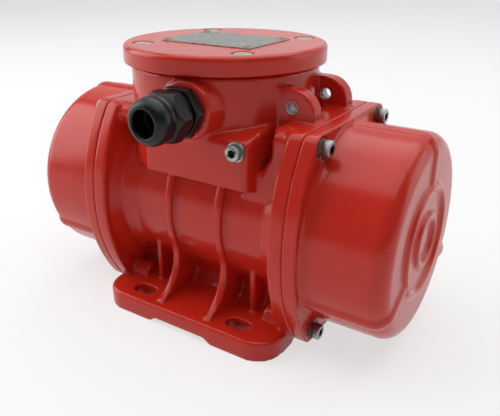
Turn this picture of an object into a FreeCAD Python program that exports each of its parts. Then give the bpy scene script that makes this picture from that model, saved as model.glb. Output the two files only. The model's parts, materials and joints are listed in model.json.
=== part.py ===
"""Foot-mounted vibration motor with round terminal box, cup-shaped covers and adjustable unbalance weights.

Millimetres. X runs along the shaft, -Y is the cable gland's side, +Z is up. The origin is in the plane of the
foot, at the middle of its four slots. The right half (+X) of each mirrored piece is modelled and mirrored.
"""
import FreeCAD
import Part
import math
import os

V = FreeCAD.Vector
ALONG_X = V(1, 0, 0)
ALONG_Y = V(0, 1, 0)
ALONG_Z = V(0, 0, 1)

# Fits
PRESS_GAP = 0.05
RUNNING_GAP = 0.12
SEAT_GAP = 0.3
JOIN = 1.0

# Stator and rotor
STATOR_R = 38.95
STATOR_HALF_LENGTH = 26.0
STATOR_SLOTS = 12
SLOT_DEPTH = 12.0
SLOT_OPENING = 6.0
AIR_GAP = 0.4
ROTOR_R = 20.6
ROTOR_BARS = 12
BAR_HEIGHT = 4.5
BAR_THICKNESS = 3.0
END_RING_LENGTH = 5.5
WINDING_OVERHANG = 14.0
WINDING_GAP = 0.3

# Shaft and bearings
SHAFT_R = 12.0
JOURNAL_R = 10.0
BEARING_R = 26.0
BEARING_WIDTH = 15.0
INNER_RACE_WALL = 3.75
ROLLER_R = 3.75
ROLLER_LENGTH = 9.0
ROLLER_COUNT = 9
CAGE_THICKNESS = 3.4
CIRCLIP_THICKNESS = 1.3
CIRCLIP_LAND = 1.6
SLEEVE_WALL = 3.0

# Bearing shields
HUB_WALL = 5.5
SHIELD_CLEARANCE = 2.0
SHIELD_LIP = 5.0
SHIELD_PLATE = 8.0
SHIELD_STAND = 1.5
SPIGOT_LENGTH = 7.0
SHIELD_SCREW_INSET = 7.35
SEAL_WIDTH = 4.0
SEAL_HEIGHT = 4.5

# Unbalance weights
WEIGHT_WIDTH = 14.0
WEIGHT_GAP = 2.0
WEIGHT_CUP_GAP = 4.5
WEIGHT_HALF_ANGLE = 80.0
WEIGHT_HUB_WALL = 6.0
DISC_R = 30.0
DISC_THICKNESS = 1.5
DISC_NOTCHES = 10
EAR_HALF_WIDTH = 11.0
EAR_HEIGHT = 24.0
CLAMP_SLIT = 2.5
KEY_WIDTH = 5.0
KEY_HEIGHT = 5.0
END_WASHER_THICKNESS = 1.5
SHAFT_END_LAND = 2.2

# Weight covers
CUP_R = 55.75
CUP_WALL = 3.25
CUP_END_WALL = 3.0
CUP_EDGE_R = 9.0
CUP_END_CLEARANCE = 10.0
COVER_FLANGE = 7.5
FLANGE_RIM_TOP = 2.75
FLANGE_RIM_SIDE = 4.25
FLANGE_SIDE_R = 98.0
FLANGE_CORNER_R = 7.0
CUP_ROOT_R = 4.0
BEAD_R = 7.0
BEAD_PROUD = 1.5
BEAD_ANGLES = (90.0, 210.0, 330.0)
RING_R = 29.0
RING_BEAD_R = 3.0
RING_PROUD = 2.0
INNER_RING_R = 13.5
SEAL_GROOVE_WIDTH = 2.2
SEAL_GROOVE_DEPTH = 2.0
GROOVE_RIM = 1.5
BOLT_CUP_GAP = 7.25
BOLT_TOP_EDGE = 6.5
BOLT_SEAT_DEPTH = 1.2
SCALLOP_R = 5.6
SCALLOP_LENGTH = 9.0

# Housing
FLANGE_GROUND_GAP = 5.5
BARREL_WALL = 7.0
HOUSING_FLANGE = 8.5
FLARE_LENGTH = 8.0
FLARE_RISE = 2.0
FLANGE_DRAFT = 4.0
FLANGE_DRAFT_RIM = 1.5
FOOT_LENGTH = 120.0
FOOT_WIDTH = 130.0
FOOT_THICKNESS = 12.0
FOOT_CORNER_R = 16.0
FOOT_EDGE_R = 2.0
SLOT_SPACING_X = 68.0
SLOT_SPACING_Y = 106.0
SLOT_LENGTH = 15.0
SLOT_WIDTH = 9.0
RELIEF_DEPTH = 3.0
PAD_LENGTH = 38.0
PAD_WIDTH = 27.0
RELIEF_SLOPE = 4.5
RIB_PROUD = 3.0
RIB_THICKNESS = 4.8
RIB_SPACING = 34.0
RIB_BLEND_R = 24.0
RIB_TOE_EDGE = 5.0
SMALL_RIB_THICKNESS = 3.5
SMALL_RIB_SPACING = 68.0
SMALL_RIB_REACH = 39.0
PEDESTAL_BLEND_R = 10.0
BOSS_LENGTH = 9.0
LOW_BOSS_LENGTH = 12.5
PLATEAU_HALF_WIDTH = 30.0
GUSSET_THICKNESS = 6.0
GUSSET_LENGTH = 26.5
GUSSET_DROP = 2.0

# Terminal box
NECK_R = 53.0
NECK_WALL = 5.0
NECK_SETBACK = 1.5
NECK_SHOULDER = 3.0
BOX_FLOOR = 3.0
BOX_DEPTH = 31.5
SADDLE_DROP = 22.5
SADDLE_CHIN = 4.0
SADDLE_CHIN_INSET = 12.0
SADDLE_RISE = 8.0
SADDLE_FALL = 4.7
SADDLE_ROOF_RUN = 26.0
SADDLE_INSET = 2.0
SADDLE_REACH = 47.0
SADDLE_SQUARE_REACH = 19.5
SADDLE_CORNER_R = 2.5
SADDLE_EDGE_R = 4.0
GASKET_THICKNESS = 1.0
GASKET_INSET = 2.0
LID_OVERHANG = 4.0
LID_THICKNESS = 10.0
LID_EDGE_R = 2.5
LID_POCKET_R = 37.0
LID_POCKET_DEPTH = 5.0
LID_BOSS_R = 6.0
LID_SCREW_INSET = 7.0
LID_HEAD_SUNK = 0.3
PLATE_LENGTH = 62.0
PLATE_WIDTH = 46.0
PLATE_THICKNESS = 0.5
PLATE_CORNER_R = 1.5
RIVET_INSET = 4.5
RIVET_HEAD_R = 2.1
RIVET_R = 1.2
RIVET_LENGTH = 3.0

# Lifting lugs
LUG_R = 13.0
LUG_THICKNESS = 8.5
LUG_GAP = 30.0
LUG_HOLE_R = 3.3
LUG_HOLE_RISE = 3.5
LUG_RISE = 3.3
LUG_NECK_GAP = 3.0

# Cable gland
GLAND_OFFSET = 12.0
GLAND_RISE = 15.5
GLAND_BOSS_R = 14.8
GLAND_BOSS_FLARE = 0.3
GLAND_BOSS_PROUD = 1.5
GLAND_FLATS = 24.0
GLAND_THREAD_R = 10.0
GLAND_WASHER = 1.5
GLAND_HEX = 5.0
GLAND_COLLAR = 3.0
GLAND_COLLAR_R = 10.4
GLAND_NUT_HEX = 8.3
GLAND_DOME = 12.5
GLAND_DOME_ROUND = 6.0
GLAND_BORE_R = 7.0
GLAND_MOUTH_R = 6.8
GLAND_INSERT_R = 5.2
GLAND_TOP_THREAD_R = 9.4
GLAND_INNER_THREAD = 13.0

# Terminal board
BLOCK_LENGTH = 50.0
BLOCK_WIDTH = 26.0
BLOCK_HEIGHT = 8.0
BLOCK_CLEARANCE = 3.0
STUD_R = 2.0
STUD_PITCH_X = 13.0
STUD_PITCH_Y = 13.0
STUD_STAND = 10.0
STUD_BURIED = 5.0
LINK_THICKNESS = 0.8
NUT_FLATS = 7.0
NUT_HEIGHT = 3.2
GROMMET_R = 7.0
GROMMET_BORE_R = 4.5
GROMMET_FLANGE_R = 9.5
GROMMET_FLANGE = 2.0
LEAD_HOLE_INSET = 11.0
EARTH_SCREW_X = 32.0
EARTH_SCREW_DROP = 1.7

# Screw sizes: thread radius, head radius, head height, hexagon across flats
M4 = (2.0, 3.5, 4.0, 3.0)
M5 = (2.5, 4.25, 5.0, 4.0)
M5_LOW = (2.5, 4.25, 3.5, 3.0)
M6 = (3.0, 5.0, 6.0, 5.0)
COVER_SCREW_LENGTH = 16.0
SHIELD_SCREW_LENGTH = 12.0
LID_SCREW_LENGTH = 14.0
EARTH_SCREW_LENGTH = 12.0
BLOCK_SCREW_LENGTH = 10.0
CLAMP_SCREW_LENGTH = 20.0
SPRING_WASHER = 1.2
SPRING_WASHER_WALL = 1.8
EARTH_WASHER = 1.2
EARTH_WASHER_R = 5.0
CLEARANCE_HOLE = 0.3
TAPPED_EXTRA = 4.0

# Radii that follow from the fits
BORE_R = STATOR_R + PRESS_GAP
BARREL_R = BORE_R + BARREL_WALL
STATOR_BORE_R = ROTOR_R + AIR_GAP
INNER_RACE_R = JOURNAL_R + INNER_RACE_WALL
PITCH_R = INNER_RACE_R + RUNNING_GAP + ROLLER_R
OUTER_RACE_INNER_R = PITCH_R + ROLLER_R + RUNNING_GAP
SLEEVE_R = JOURNAL_R + SLEEVE_WALL
SEAL_R = SLEEVE_R + SEAL_HEIGHT
CUP_INNER_R = CUP_R - CUP_WALL
WEIGHT_R = CUP_INNER_R - WEIGHT_CUP_GAP
WEIGHT_HUB_R = JOURNAL_R + WEIGHT_HUB_WALL
SHIELD_R = CUP_INNER_R - 0.7
SHIELD_SEAT_R = SHIELD_R + PRESS_GAP

# Stations along the shaft, right half
WINDING_END = STATOR_HALF_LENGTH + WINDING_OVERHANG
HUB_START = WINDING_END + SHIELD_CLEARANCE
CIRCLIP_START = HUB_START + CIRCLIP_LAND
BEARING_START = CIRCLIP_START + CIRCLIP_THICKNESS + PRESS_GAP
BEARING_END = BEARING_START + BEARING_WIDTH
SHIELD_FACE = BEARING_END + SHIELD_LIP
SHIELD_SEAT = SHIELD_FACE - SHIELD_PLATE
HOUSING_FACE = SHIELD_FACE - SHIELD_STAND
FLANGE_START = HOUSING_FACE - HOUSING_FLANGE
COVER_FACE = HOUSING_FACE + COVER_FLANGE
BOLT_SEAT = COVER_FACE - BOLT_SEAT_DEPTH
FIXED_START = SHIELD_FACE + WEIGHT_GAP
FIXED_END = FIXED_START + WEIGHT_WIDTH
DISC_END = FIXED_END + DISC_THICKNESS
SETTING_START = DISC_END + SEAT_GAP
SETTING_END = SETTING_START + WEIGHT_WIDTH
END_WASHER_START = SETTING_END + SEAT_GAP
END_WASHER_END = END_WASHER_START + END_WASHER_THICKNESS
END_CIRCLIP_END = END_WASHER_END + CIRCLIP_THICKNESS
SHAFT_END = END_CIRCLIP_END + SHAFT_END_LAND
CUP_INNER_END = SHAFT_END + CUP_END_CLEARANCE
CUP_END = CUP_INNER_END + CUP_END_WALL

# Flange outline and its bolts, measured from the shaft's axis
FLANGE_HALF_HEIGHT = CUP_R + FLANGE_RIM_TOP
FLANGE_HALF_WIDTH = CUP_R + FLANGE_RIM_SIDE
BOLT_CIRCLE_R = CUP_R + BOLT_CUP_GAP
BOLT_Z = FLANGE_HALF_HEIGHT - BOLT_TOP_EDGE
BOSS_R = BOLT_TOP_EDGE
BOLT_Y = math.sqrt(BOLT_CIRCLE_R ** 2 - BOLT_Z ** 2)
AXIS_Z = FLANGE_HALF_HEIGHT + FLANGE_GROUND_GAP
PLATEAU_Z = AXIS_Z + FLANGE_HALF_HEIGHT

# Terminal box stations
NECK_X = NECK_R + NECK_SETBACK - HOUSING_FACE
NECK_INNER_R = NECK_R - NECK_WALL
BOX_FLOOR_Z = AXIS_Z + BARREL_R + BOX_FLOOR
NECK_TOP_Z = BOX_FLOOR_Z + BOX_DEPTH
LID_BOTTOM_Z = NECK_TOP_Z + GASKET_THICKNESS
LID_TOP_Z = LID_BOTTOM_Z + LID_THICKNESS
LID_R = NECK_R + LID_OVERHANG
LID_SCREW_R = NECK_R - LID_SCREW_INSET
LID_HEAD_SEAT_Z = LID_TOP_Z - LID_HEAD_SUNK - M6[2]
NECK_FOOT_Z = BOX_FLOOR_Z + NECK_SHOULDER
SADDLE_HALF_WIDTH = NECK_R - SADDLE_INSET
SADDLE_END_X = NECK_X + SADDLE_REACH
SADDLE_BOTTOM_Z = BOX_FLOOR_Z - SADDLE_DROP
SADDLE_TOP_Z = BOX_FLOOR_Z + SADDLE_RISE
LUG_X = NECK_X + NECK_R + LUG_NECK_GAP
LUG_Z = PLATEAU_Z + LUG_RISE
LUG_HOLE_Z = LUG_Z + LUG_HOLE_RISE
LEAD_HOLE_X = NECK_X - NECK_INNER_R + GROMMET_FLANGE_R + LEAD_HOLE_INSET
BLOCK_X = LEAD_HOLE_X + GROMMET_FLANGE_R + BLOCK_CLEARANCE + BLOCK_LENGTH / 2
GLAND_X = NECK_X + GLAND_OFFSET
GLAND_Z = BOX_FLOOR_Z + GLAND_RISE
GLAND_SEAT_Y = -(NECK_R + GLAND_BOSS_PROUD)
EARTH_SCREW_Z = BOX_FLOOR_Z - EARTH_SCREW_DROP


def box(x0, x1, y0, y1, z0, z1):
    return Part.makeBox(x1 - x0, y1 - y0, z1 - z0, V(x0, y0, z0))


def cylinder_x(radius, x0, x1, y=0.0, z=AXIS_Z):
    return Part.makeCylinder(radius, x1 - x0, V(x0, y, z), ALONG_X)


def cylinder_y(radius, y0, y1, x, z):
    return Part.makeCylinder(radius, y1 - y0, V(x, y0, z), ALONG_Y)


def cylinder_z(radius, z0, z1, x, y):
    return Part.makeCylinder(radius, z1 - z0, V(x, y, z0), ALONG_Z)


def tube_x(outer, inner, x0, x1):
    return cylinder_x(outer, x0, x1).cut(cylinder_x(inner, x0 - JOIN, x1 + JOIN))


def revolved(profile):
    """Solid of revolution about the shaft's axis from (x, radius) points."""
    points = [V(x, 0, AXIS_Z + r) for x, r in profile]
    face = Part.Face(Part.makePolygon(points + points[:1]))
    return face.revolve(V(0, 0, AXIS_Z), ALONG_X, 360)


def prism(points, direction):
    face = Part.Face(Part.makePolygon(points + points[:1]))
    return face.extrude(direction)


def prism_x(outline, x0, x1):
    """Prism along X of an outline of (y, z) points measured from the shaft's axis."""
    return prism([V(x0, y, AXIS_Z + z) for y, z in outline], V(x1 - x0, 0, 0))


def hexagon_z(across_flats, z0, z1):
    corner_r = across_flats / math.sqrt(3)
    corners = [math.radians(60 * i) for i in range(6)]
    return prism([V(corner_r * math.cos(a), corner_r * math.sin(a), z0) for a in corners],
                 V(0, 0, z1 - z0))


def placed(shape, position, direction):
    """Copy of a piece modelled along +Z at the origin, laid along direction at position."""
    copy = shape.copy()
    copy.Placement = FreeCAD.Placement(position, FreeCAD.Rotation(ALONG_Z, direction))
    return copy


def turned(shape, angle):
    """Copy turned about the shaft's axis, in degrees."""
    copy = shape.copy()
    copy.rotate(V(0, 0, AXIS_Z), ALONG_X, angle)
    return copy


def union(shapes):
    return shapes[0].multiFuse(shapes[1:]) if len(shapes) > 1 else shapes[0]


def mirror_x(shape):
    return shape.mirror(V(0, 0, 0), ALONG_X)


def mirror_y(shape):
    return shape.mirror(V(0, 0, 0), ALONG_Y)


def both_sides(shape):
    return [shape, mirror_x(shape)]


def save(name, shapes):
    """Writes one node, whose separate solids stay separate."""
    solids = [solid for shape in shapes for solid in shape.Solids]
    whole = solids[0] if len(solids) == 1 else Part.makeCompound(solids)
    whole.exportStep("parts/" + name + ".step")


def save_pair(name, right_shapes):
    save("right_" + name, right_shapes)
    save("left_" + name, [mirror_x(shape) for shape in right_shapes])


def cap_screw(size, length):
    """Socket head cap screw along +Z: the head stands on z = 0 and the thread hangs below."""
    thread_r, head_r, head_height, flats = size
    edge = 0.1 * head_r
    profile = [V(0, 0, -length), V(thread_r - edge, 0, -length), V(thread_r, 0, edge - length),
               V(thread_r, 0, 0), V(head_r, 0, 0), V(head_r, 0, head_height - edge),
               V(head_r - edge, 0, head_height), V(0, 0, head_height)]
    face = Part.Face(Part.makePolygon(profile + profile[:1]))
    body = face.revolve(V(0, 0, 0), ALONG_Z, 360)
    return body.cut(hexagon_z(flats, 0.45 * head_height, head_height + JOIN))


def tapped_hole(size, length, position, direction):
    """Cutter for a blind hole that starts at position and runs against direction."""
    depth = length + TAPPED_EXTRA
    start = position + direction * JOIN
    return Part.makeCylinder(size[0] + PRESS_GAP, depth + JOIN, start, direction * -1)


def flange_outline(x0, x1):
    """Plate with bulged sides, flat top and bottom and rounded corners, as cut for the end flanges."""
    offset = FLANGE_SIDE_R - FLANGE_HALF_WIDTH
    front = cylinder_x(FLANGE_SIDE_R, x0, x1, offset)
    back = cylinder_x(FLANGE_SIDE_R, x0, x1, -offset)
    slab = box(x0, x1, -FLANGE_SIDE_R, FLANGE_SIDE_R,
               AXIS_Z - FLANGE_HALF_HEIGHT, AXIS_Z + FLANGE_HALF_HEIGHT)
    plate = front.common(back).common(slab)
    long_edges = [e for e in plate.Edges if e.Length > 0 and abs(e.BoundBox.XLength - (x1 - x0)) < 1e-6
                  and e.BoundBox.YLength < 1e-6]
    return plate.makeFillet(FLANGE_CORNER_R, long_edges)


def bolt_positions():
    return [(sy * BOLT_Y, AXIS_Z + sz * BOLT_Z) for sy in (-1, 1) for sz in (-1, 1)]


def skirt(circle_r, blend_r, half_width, x0, x1):
    """Wall under the barrel whose sides sweep from a circle about the axis out to the foot's top."""
    centre_z = FOOT_THICKNESS + blend_r - AXIS_Z
    centre_y = math.sqrt((circle_r + blend_r) ** 2 - centre_z ** 2)
    toe_y = min(centre_y, half_width)
    toe_z = centre_z - math.sqrt(blend_r ** 2 - (centre_y - toe_y) ** 2)
    share = circle_r / (circle_r + blend_r)
    touch = (share * centre_y, share * centre_z)
    start_angle = math.atan2(touch[1] - centre_z, touch[0] - centre_y)
    end_angle = math.atan2(toe_z - centre_z, toe_y - centre_y)
    if start_angle < 0:
        start_angle += 2 * math.pi
    if end_angle < 0:
        end_angle += 2 * math.pi
    middle_angle = (start_angle + end_angle) / 2
    middle = (centre_y + blend_r * math.cos(middle_angle), centre_z + blend_r * math.sin(middle_angle))
    base_z = FOOT_THICKNESS / 2 - AXIS_Z

    def at(y, z):
        return V(x0, y, AXIS_Z + z)

    edges = [Part.makeLine(at(0, 0), at(*touch)),
             Part.Arc(at(*touch), at(*middle), at(toe_y, toe_z)).toShape(),
             Part.makeLine(at(toe_y, toe_z), at(toe_y, base_z)),
             Part.makeLine(at(toe_y, base_z), at(0, base_z)),
             Part.makeLine(at(0, base_z), at(0, 0))]
    half = Part.Face(Part.Wire(edges)).extrude(V(x1 - x0, 0, 0))
    return half.fuse(mirror_y(half))


def main_rib(x):
    """Thin rib that follows the barrel and flares into the foot."""
    x0 = x - RIB_THICKNESS / 2
    x1 = x + RIB_THICKNESS / 2
    rib_r = BARREL_R + RIB_PROUD
    ring = cylinder_x(rib_r, x0, x1)
    return ring.fuse(skirt(rib_r, RIB_BLEND_R, FOOT_WIDTH / 2 - RIB_TOE_EDGE, x0, x1))


def small_rib(x):
    """Short upright rib between foot and barrel, beside a slot."""
    half = SMALL_RIB_THICKNESS / 2
    return box(x - half, x + half, -SMALL_RIB_REACH, SMALL_RIB_REACH,
               FOOT_THICKNESS / 2, AXIS_Z - BARREL_R / 2)


def foot_plate():
    half_x = FOOT_LENGTH / 2
    half_y = FOOT_WIDTH / 2
    plate = box(-half_x, half_x, -half_y, half_y, 0, FOOT_THICKNESS)
    uprights = [e for e in plate.Edges if e.BoundBox.ZLength > FOOT_THICKNESS / 2]
    plate = plate.makeFillet(FOOT_CORNER_R, uprights)
    top_edges = [e for e in plate.Edges if e.BoundBox.ZMin > FOOT_THICKNESS - 1e-6]
    return plate.makeFillet(FOOT_EDGE_R, top_edges)


def foot_cutters():
    """Four slots, and the cross-shaped relief that leaves a machined pad at each corner."""
    relief_x = FOOT_LENGTH / 2 - PAD_LENGTH
    relief_y = FOOT_WIDTH / 2 - PAD_WIDTH
    across = [(-relief_x, -JOIN), (-relief_x, 0), (RELIEF_SLOPE - relief_x, RELIEF_DEPTH),
              (relief_x - RELIEF_SLOPE, RELIEF_DEPTH), (relief_x, 0), (relief_x, -JOIN)]
    cutters = [prism([V(x, -FOOT_WIDTH, z) for x, z in across], V(0, 2 * FOOT_WIDTH, 0))]
    along = [(-relief_y, -JOIN), (-relief_y, 0), (RELIEF_SLOPE - relief_y, RELIEF_DEPTH),
             (relief_y - RELIEF_SLOPE, RELIEF_DEPTH), (relief_y, 0), (relief_y, -JOIN)]
    cutters.append(prism([V(-FOOT_LENGTH, y, z) for y, z in along], V(2 * FOOT_LENGTH, 0, 0)))
    straight = (SLOT_LENGTH - SLOT_WIDTH) / 2
    for sx in (-1, 1):
        for sy in (-1, 1):
            x = sx * SLOT_SPACING_X / 2
            y = sy * SLOT_SPACING_Y / 2
            top = FOOT_THICKNESS + JOIN
            half = SLOT_WIDTH / 2
            cutters.append(box(x - straight, x + straight, y - half, y + half, -JOIN, top))
            cutters.append(cylinder_z(half, -JOIN, top, x - straight, y))
            cutters.append(cylinder_z(half, -JOIN, top, x + straight, y))
    return cutters


def end_flange():
    """Right end of the casting: flared barrel, flange with a thick root, bolt bosses and their plateau."""
    root_x = FLANGE_START - FLANGE_DRAFT
    flare_start = root_x - FLARE_LENGTH
    rim_r = FLANGE_HALF_HEIGHT - FLANGE_DRAFT_RIM
    flare = revolved([(flare_start, 0), (flare_start, BARREL_R), (root_x, BARREL_R + FLARE_RISE),
                      (FLANGE_START, rim_r), (FLANGE_START + JOIN, rim_r), (FLANGE_START + JOIN, 0)])
    boss_start = FLANGE_START - BOSS_LENGTH
    bosses = []
    for y, z in bolt_positions():
        length = BOSS_LENGTH if z > AXIS_Z else LOW_BOSS_LENGTH
        bosses.append(cylinder_x(BOSS_R, FLANGE_START - length, FLANGE_START + JOIN, y, z))
    beam = box(boss_start, FLANGE_START + JOIN, -BOLT_Y, BOLT_Y,
               AXIS_Z + BOLT_Z - BOSS_R, AXIS_Z + BOLT_Z + BOSS_R)
    stem = box(boss_start, FLANGE_START + JOIN, -PLATEAU_HALF_WIDTH, PLATEAU_HALF_WIDTH,
               AXIS_Z, AXIS_Z + BOLT_Z)
    return [flange_outline(FLANGE_START, HOUSING_FACE), flare, beam, stem] + bosses


def gussets():
    """Sloping webs that brace the right end's top bosses against the barrel."""
    boss_start = FLANGE_START - BOSS_LENGTH
    outer_y = BOLT_Y + BOSS_R
    inner_y = outer_y - GUSSET_THICKNESS
    foot_z = math.sqrt(BARREL_R ** 2 - outer_y ** 2)
    buried_z = foot_z - BARREL_WALL / 2
    toe_x = FLANGE_START - GUSSET_LENGTH
    slope = [(toe_x, foot_z), (boss_start, BOLT_Z - BOSS_R - GUSSET_DROP), (boss_start, BOLT_Z),
             (FLANGE_START + JOIN, BOLT_Z), (FLANGE_START + JOIN, buried_z), (toe_x, buried_z)]
    gusset = prism([V(x, inner_y, AXIS_Z + z) for x, z in slope], V(0, outer_y - inner_y, 0))
    return [gusset, mirror_y(gusset)]


def lifting_lug():
    """Rear lug: a round-topped wall between plateau and neck."""
    y0 = LUG_GAP / 2
    y1 = y0 + LUG_THICKNESS
    root_z = AXIS_Z + BOLT_Z
    wall = box(LUG_X - LUG_R, LUG_X + LUG_R, y0, y1, root_z, LUG_Z)
    web = box(NECK_X + NECK_INNER_R - 8.0, LUG_X, y0, y1, BOX_FLOOR_Z, LUG_Z + LUG_R)
    return [cylinder_y(LUG_R, y0, y1, LUG_X, LUG_Z), wall, web]


def terminal_box_body():
    """Saddle and neck: a round box that grows out of the barrel through a flat-sided block."""
    chin_y = SADDLE_HALF_WIDTH - SADDLE_CHIN_INSET
    ridge_y = SADDLE_HALF_WIDTH - SADDLE_ROOF_RUN
    eaves_z = SADDLE_TOP_Z - SADDLE_FALL
    outline = [(-SADDLE_HALF_WIDTH, SADDLE_BOTTOM_Z), (-SADDLE_HALF_WIDTH, eaves_z), (-ridge_y, SADDLE_TOP_Z),
               (ridge_y, SADDLE_TOP_Z), (SADDLE_HALF_WIDTH, eaves_z), (SADDLE_HALF_WIDTH, SADDLE_BOTTOM_Z),
               (chin_y, SADDLE_BOTTOM_Z - SADDLE_CHIN), (-chin_y, SADDLE_BOTTOM_Z - SADDLE_CHIN)]
    block = prism([V(NECK_X - NECK_R, y, z) for y, z in outline], V(NECK_R + SADDLE_REACH, 0, 0))
    top_edges = [e for e in block.Edges
                 if e.BoundBox.XLength > NECK_R and abs(e.BoundBox.ZMin - eaves_z) < 1e-6]
    block = block.makeFillet(SADDLE_EDGE_R, top_edges)
    end_edges = [e for e in block.Edges if abs(e.CenterOfMass.x - SADDLE_END_X) < 1e-6
                 and e.BoundBox.ZLength > SADDLE_RISE and e.BoundBox.YLength < 1e-6]
    block = block.makeFillet(SADDLE_CORNER_R, end_edges)
    round_end = cylinder_z(NECK_R, SADDLE_BOTTOM_Z, SADDLE_TOP_Z + JOIN, NECK_X, 0)
    square_end = box(NECK_X - SADDLE_SQUARE_REACH, SADDLE_END_X + JOIN, -NECK_R, NECK_R,
                     AXIS_Z, SADDLE_TOP_Z + JOIN)
    saddle = block.common(round_end.fuse(square_end))
    neck = cylinder_z(NECK_R, NECK_FOOT_Z, NECK_TOP_Z, NECK_X, 0)
    boss_root_r = GLAND_BOSS_R - GLAND_BOSS_FLARE * GLAND_SEAT_Y
    gland_seat = V(GLAND_X, GLAND_SEAT_Y, GLAND_Z)
    gland_boss = Part.makeCone(GLAND_BOSS_R, boss_root_r, -GLAND_SEAT_Y, gland_seat, ALONG_Y)
    gland_boss = gland_boss.common(box(-NECK_R, NECK_R, GLAND_SEAT_Y, 0, BOX_FLOOR_Z, NECK_TOP_Z))
    return [saddle, neck, gland_boss]


def lid_screw_points():
    diagonal = LID_SCREW_R / math.sqrt(2)
    return [(NECK_X + sx * diagonal, sy * diagonal) for sx in (-1, 1) for sy in (-1, 1)]


def block_screw_points():
    reach = BLOCK_LENGTH / 2 - 5.0
    return [(BLOCK_X - reach, 0), (BLOCK_X + reach, 0)]


def shield_screw_points():
    radius = SHIELD_R - SHIELD_SCREW_INSET
    diagonal = radius / math.sqrt(2)
    return [(sy * diagonal, AXIS_Z + sz * diagonal) for sy in (-1, 1) for sz in (-1, 1)]


def motor_housing():
    solids = [cylinder_x(BARREL_R, -FLANGE_START, FLANGE_START), foot_plate(),
              skirt(BARREL_R, PEDESTAL_BLEND_R, FOOT_WIDTH / 2, -FLANGE_START, FLANGE_START)]
    for piece in end_flange():
        solids += both_sides(piece)
    for sx in (-1, 1):
        solids.append(main_rib(sx * RIB_SPACING / 2))
        solids.append(small_rib(sx * SMALL_RIB_SPACING / 2))
    solids += gussets() + terminal_box_body()
    for piece in lifting_lug():
        solids += [piece, mirror_y(piece)]
    casting = union(solids).removeSplitter()

    cavity = cylinder_z(NECK_INNER_R, BOX_FLOOR_Z, NECK_TOP_Z + JOIN, NECK_X, 0)
    for x, y in lid_screw_points():
        cavity = cavity.cut(cylinder_z(LID_BOSS_R, BOX_FLOOR_Z - JOIN, NECK_TOP_Z + 2 * JOIN, x, y))
    cutters = foot_cutters() + [cavity, cylinder_x(BORE_R, -HOUSING_FACE - JOIN, HOUSING_FACE + JOIN)]
    seat = cylinder_x(SHIELD_SEAT_R, SHIELD_SEAT, HOUSING_FACE + JOIN)
    groove_r = CUP_INNER_R + GROOVE_RIM
    groove = tube_x(groove_r + SEAL_GROOVE_WIDTH, groove_r, HOUSING_FACE - SEAL_GROOVE_DEPTH,
                    HOUSING_FACE + JOIN)
    cutters += both_sides(seat) + both_sides(groove)
    screw_depth = COVER_SCREW_LENGTH - SPRING_WASHER - (BOLT_SEAT - HOUSING_FACE)
    for y, z in bolt_positions():
        cutters += both_sides(tapped_hole(M5, screw_depth, V(HOUSING_FACE, y, z), ALONG_X))
    shield_depth = SHIELD_SCREW_LENGTH - (SHIELD_PLATE - M5[2] - SEAT_GAP)
    for y, z in shield_screw_points():
        cutters += both_sides(tapped_hole(M5, shield_depth - 2.0, V(SHIELD_SEAT, y, z), ALONG_X))
    for x, y in lid_screw_points():
        cutters.append(tapped_hole(M6, LID_SCREW_LENGTH, V(x, y, NECK_TOP_Z), ALONG_Z))
    for x, y in block_screw_points():
        cutters.append(tapped_hole(M4, BLOCK_SCREW_LENGTH - BLOCK_HEIGHT - 1.0, V(x, y, BOX_FLOOR_Z),
                                   ALONG_Z))
    cutters.append(cylinder_z(GROMMET_R + PRESS_GAP, AXIS_Z, BOX_FLOOR_Z + JOIN, LEAD_HOLE_X, 0))
    cutters.append(cylinder_y(GLAND_THREAD_R + PRESS_GAP, GLAND_SEAT_Y - JOIN, -NECK_INNER_R / 2,
                              GLAND_X, GLAND_Z))
    cutters.append(tapped_hole(M5, EARTH_SCREW_LENGTH, V(EARTH_SCREW_X, -SADDLE_HALF_WIDTH, EARTH_SCREW_Z),
                               ALONG_Y * -1))
    cutters.append(cylinder_y(LUG_HOLE_R, -LUG_GAP, LUG_GAP, LUG_X, LUG_HOLE_Z))
    return casting.cut(cutters)


def stiffening_bead(angle):
    """Round bead that runs along the cup's wall, over its edge and in to the end ring."""
    path_r = CUP_R + BEAD_PROUD - BEAD_R
    path_x = CUP_END + BEAD_PROUD - BEAD_R
    bend = CUP_EDGE_R + BEAD_PROUD - BEAD_R
    start = V(COVER_FACE - COVER_FLANGE / 2, 0, AXIS_Z + path_r)
    before = V(path_x - bend, 0, AXIS_Z + path_r)
    after = V(path_x, 0, AXIS_Z + path_r - bend)
    middle = V(path_x - bend + bend / math.sqrt(2), 0, AXIS_Z + path_r - bend + bend / math.sqrt(2))
    end = V(path_x, 0, AXIS_Z + RING_R)
    path = Part.Wire([Part.makeLine(start, before), Part.Arc(before, middle, after).toShape(),
                      Part.makeLine(after, end)])
    profile = Part.Wire(Part.makeCircle(BEAD_R, start, ALONG_X))
    bead = path.makePipeShell([profile], True, False)
    return turned(bead, angle - 90)


def end_bead(ring_r):
    return Part.makeTorus(ring_r, RING_BEAD_R, V(CUP_END + RING_PROUD - RING_BEAD_R, 0, AXIS_Z), ALONG_X)


def cup_root():
    """Fillet between cup and flange, cut off where the flange ends."""
    centre = V(COVER_FACE + CUP_ROOT_R, 0, AXIS_Z + CUP_R + CUP_ROOT_R)
    low = V(centre.x, 0, AXIS_Z + CUP_R)
    high = V(COVER_FACE, 0, centre.z)
    middle = centre - V(CUP_ROOT_R, 0, CUP_ROOT_R) / math.sqrt(2)
    inner = V(COVER_FACE, 0, AXIS_Z + CUP_R - CUP_WALL / 2)
    outer = V(centre.x, 0, inner.z)
    wire = Part.Wire([Part.Arc(high, middle, low).toShape(), Part.makeLine(low, outer),
                      Part.makeLine(outer, inner), Part.makeLine(inner, high)])
    ring = Part.Face(wire).revolve(V(0, 0, AXIS_Z), ALONG_X, 360)
    return ring.common(flange_outline(COVER_FACE, centre.x))


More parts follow.
